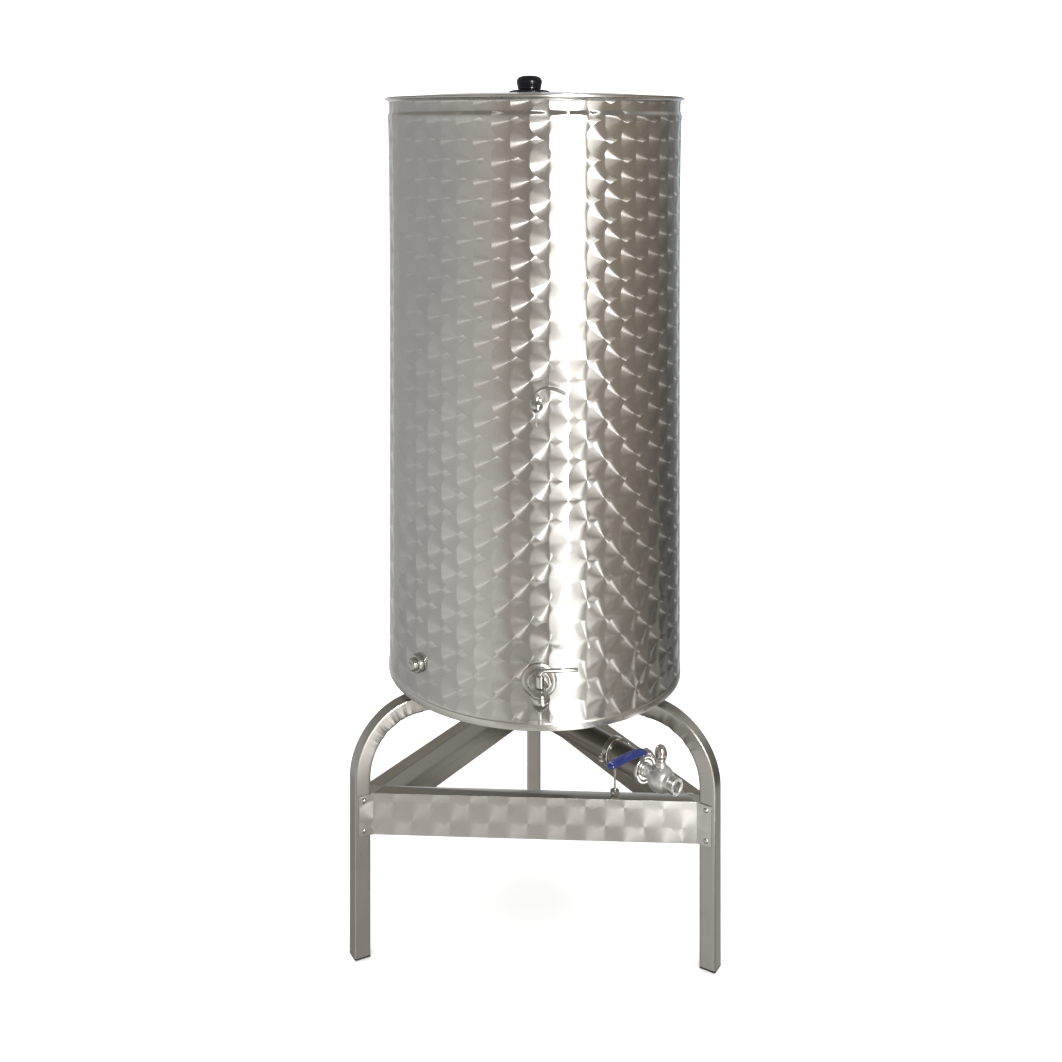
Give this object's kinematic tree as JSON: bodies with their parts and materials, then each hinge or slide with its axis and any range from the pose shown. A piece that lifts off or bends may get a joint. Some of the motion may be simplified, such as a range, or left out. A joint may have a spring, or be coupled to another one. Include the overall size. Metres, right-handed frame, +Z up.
{
  "type": "vertical storage tank on a three-legged stand",
  "caption": "Upright stainless steel liquid storage tank with a loose lid, taps at the front and a ball-valve drain, on a bent-tube stand.",
  "frame": {"origin": "on the tank's vertical axis at floor level, which is also the middle of the outline in plan", "axes": "+Z up; the front rail and its two legs run parallel to X on the -Y side, where the taps are; the rear leg is on +Y"},
  "size_m": [0.6922, 0.7079, 1.6566],
  "materials": {
    "marbled_steel": "engine-turned stainless sheet with overlapping polished swirls",
    "lid_steel": "finely brushed stainless sheet",
    "tube_steel": "satin stainless tube, brushed along its length",
    "bright_steel": "polished stainless steel",
    "cast_steel": "bead-blasted cast stainless steel",
    "black_plastic": "moulded black plastic with a soft gloss",
    "foot_plastic": "matt black plastic glide",
    "blue_rubber": "dipped blue vinyl sleeve"
  },
  "bodies": {
    "tank": {"tank_shell": "marbled_steel", "tank_floor": "marbled_steel", "leg_left": "tube_steel", "leg_right": "tube_steel", "leg_rear": "tube_steel", "leg_left_end": "tube_steel", "leg_right_end": "tube_steel", "leg_rear_end": "tube_steel", "foot_left": "foot_plastic", "foot_right": "foot_plastic", "foot_rear": "foot_plastic", "rail_front": "marbled_steel", "rail_left": "marbled_steel", "rail_right": "marbled_steel", "main_tap_socket": "bright_steel", "main_tap_flange": "bright_steel", "main_tap_backnut": "bright_steel", "main_tap_body": "bright_steel", "main_tap_spout": "bright_steel", "sample_tap_socket": "bright_steel", "sample_tap_body": "bright_steel", "sample_tap_spout": "bright_steel", "side_outlet_boss": "bright_steel", "side_outlet_plug": "bright_steel", "drain_pipe": "tube_steel", "drain_flange": "tube_steel", "pipe_clamp": "bright_steel", "support_rod": "bright_steel", "support_nut": "bright_steel", "valve_collar": "bright_steel", "valve_inlet": "bright_steel", "valve_body": "cast_steel"},
    "lid": {"lid": "lid_steel", "lid_knob": "black_plastic", "lid_knob_base": "black_plastic", "lid_knob_screw": "bright_steel"},
    "main_tap_lever": {"main_tap_lever": "bright_steel"},
    "sample_tap_lever": {"sample_tap_lever": "bright_steel"},
    "valve_lever": {"valve_lever_hub": "bright_steel", "valve_lever_arm": "bright_steel", "valve_lever_sleeve": "blue_rubber"}
  },
  "joints": [
    {"name": "lid_lift", "type": "slide", "parent": "tank", "child": "lid", "axis": [0, 0, 1], "range_m": [0, 0.12]},
    {"name": "main_tap_turn", "type": "hinge", "parent": "tank", "child": "main_tap_lever", "pos_m": [0.01116, -0.33631, 0.5743], "axis": [0, 0, -1], "range_deg": [0, 90]},
    {"name": "sample_tap_turn", "type": "hinge", "parent": "tank", "child": "sample_tap_lever", "pos_m": [0.00503, -0.31996, 1.0778], "axis": [0, 0, -1], "range_deg": [0, 90]},
    {"name": "valve_turn", "type": "hinge", "parent": "tank", "child": "valve_lever", "pos_m": [0.22731, -0.26614, 0.4168], "axis": [0, 0, 1], "range_deg": [0, 90]}
  ]
}
